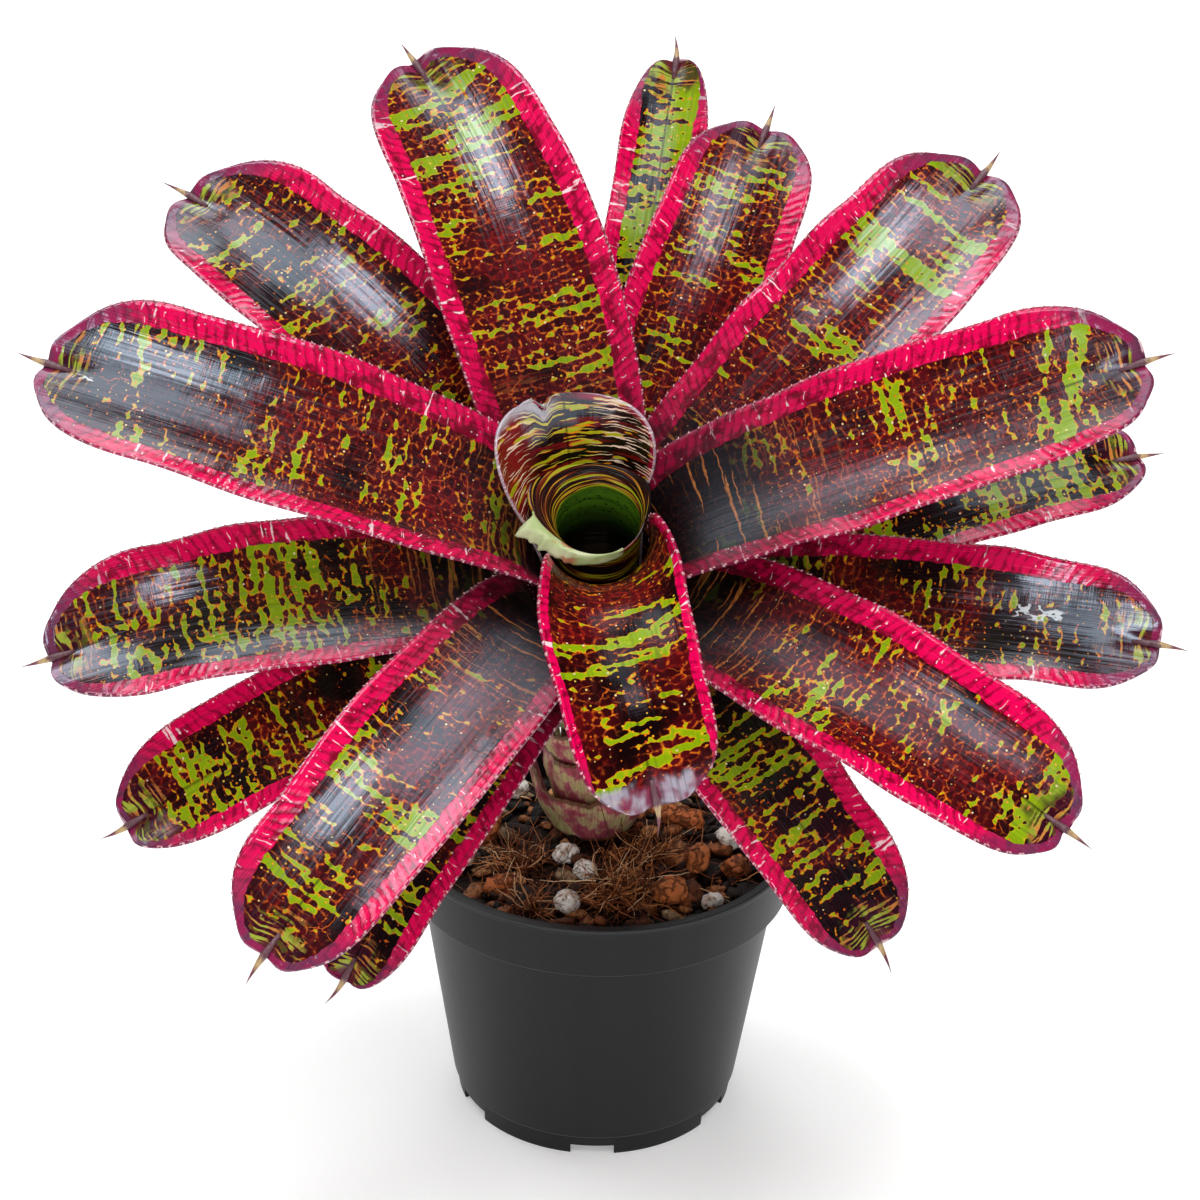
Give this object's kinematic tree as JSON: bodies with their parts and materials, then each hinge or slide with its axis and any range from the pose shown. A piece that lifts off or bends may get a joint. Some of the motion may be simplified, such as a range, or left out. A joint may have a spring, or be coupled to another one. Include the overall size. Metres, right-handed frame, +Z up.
{
  "type": "potted bromeliad",
  "caption": "Potted bromeliad whose strap leaves, with bright edges and cross-bands, spread from a leaning water cup on a short stem in a round nursery pot.",
  "frame": {"origin": "on the surface the pot stands on, under the middle of the whole plant's box", "axes": "+Z up, -Y the way the rosette leans, which is its front, +X to the right seen from the front"},
  "size_m": [0.3886, 0.2999, 0.4012],
  "materials": {
    "black_plastic": "satin",
    "potting_mix": "matte",
    "pumice": "matte",
    "fired_clay": "matte",
    "bark": "matte",
    "coir": "matte",
    "stem": "matte",
    "old_sheath": "satin",
    "leaf": "gloss"
  },
  "bodies": {
    "root": {"pot": "black_plastic", "potting_mix": "potting_mix", "pumice_1": "pumice", "pumice_2": "pumice", "pumice_3": "pumice", "pumice_4": "pumice", "pumice_5": "pumice", "pumice_6": "pumice", "pumice_7": "pumice", "pumice_8": "pumice", "clay_ball": "fired_clay", "clay_stone": "fired_clay", "bark_1": "bark", "bark_2": "bark", "bark_3": "bark", "bark_4": "bark", "bark_5": "bark", "bark_6": "bark", "coir_tuft_1": "coir", "coir_tuft_2": "coir", "coir_tuft_3": "coir", "coir_tuft_4": "coir", "stem": "stem", "old_sheath_front": "old_sheath", "old_sheath_left": "old_sheath", "old_sheath_top": "old_sheath", "leaf_01_tube": "leaf", "leaf_02_hood": "leaf", "leaf_03_front": "leaf", "leaf_04_left": "leaf", "leaf_05_right": "leaf", "leaf_06_back": "leaf", "leaf_07_front_left": "leaf", "leaf_08_front_right": "leaf", "leaf_09_back_right": "leaf", "leaf_10_back_left": "leaf", "leaf_11_left": "leaf", "leaf_12_right": "leaf", "leaf_13_front_right": "leaf", "leaf_14_back_right": "leaf", "leaf_15_front_left": "leaf", "leaf_16_front_left": "leaf", "leaf_17_right": "leaf", "leaf_18_back": "leaf"}
  },
  "joints": []
}
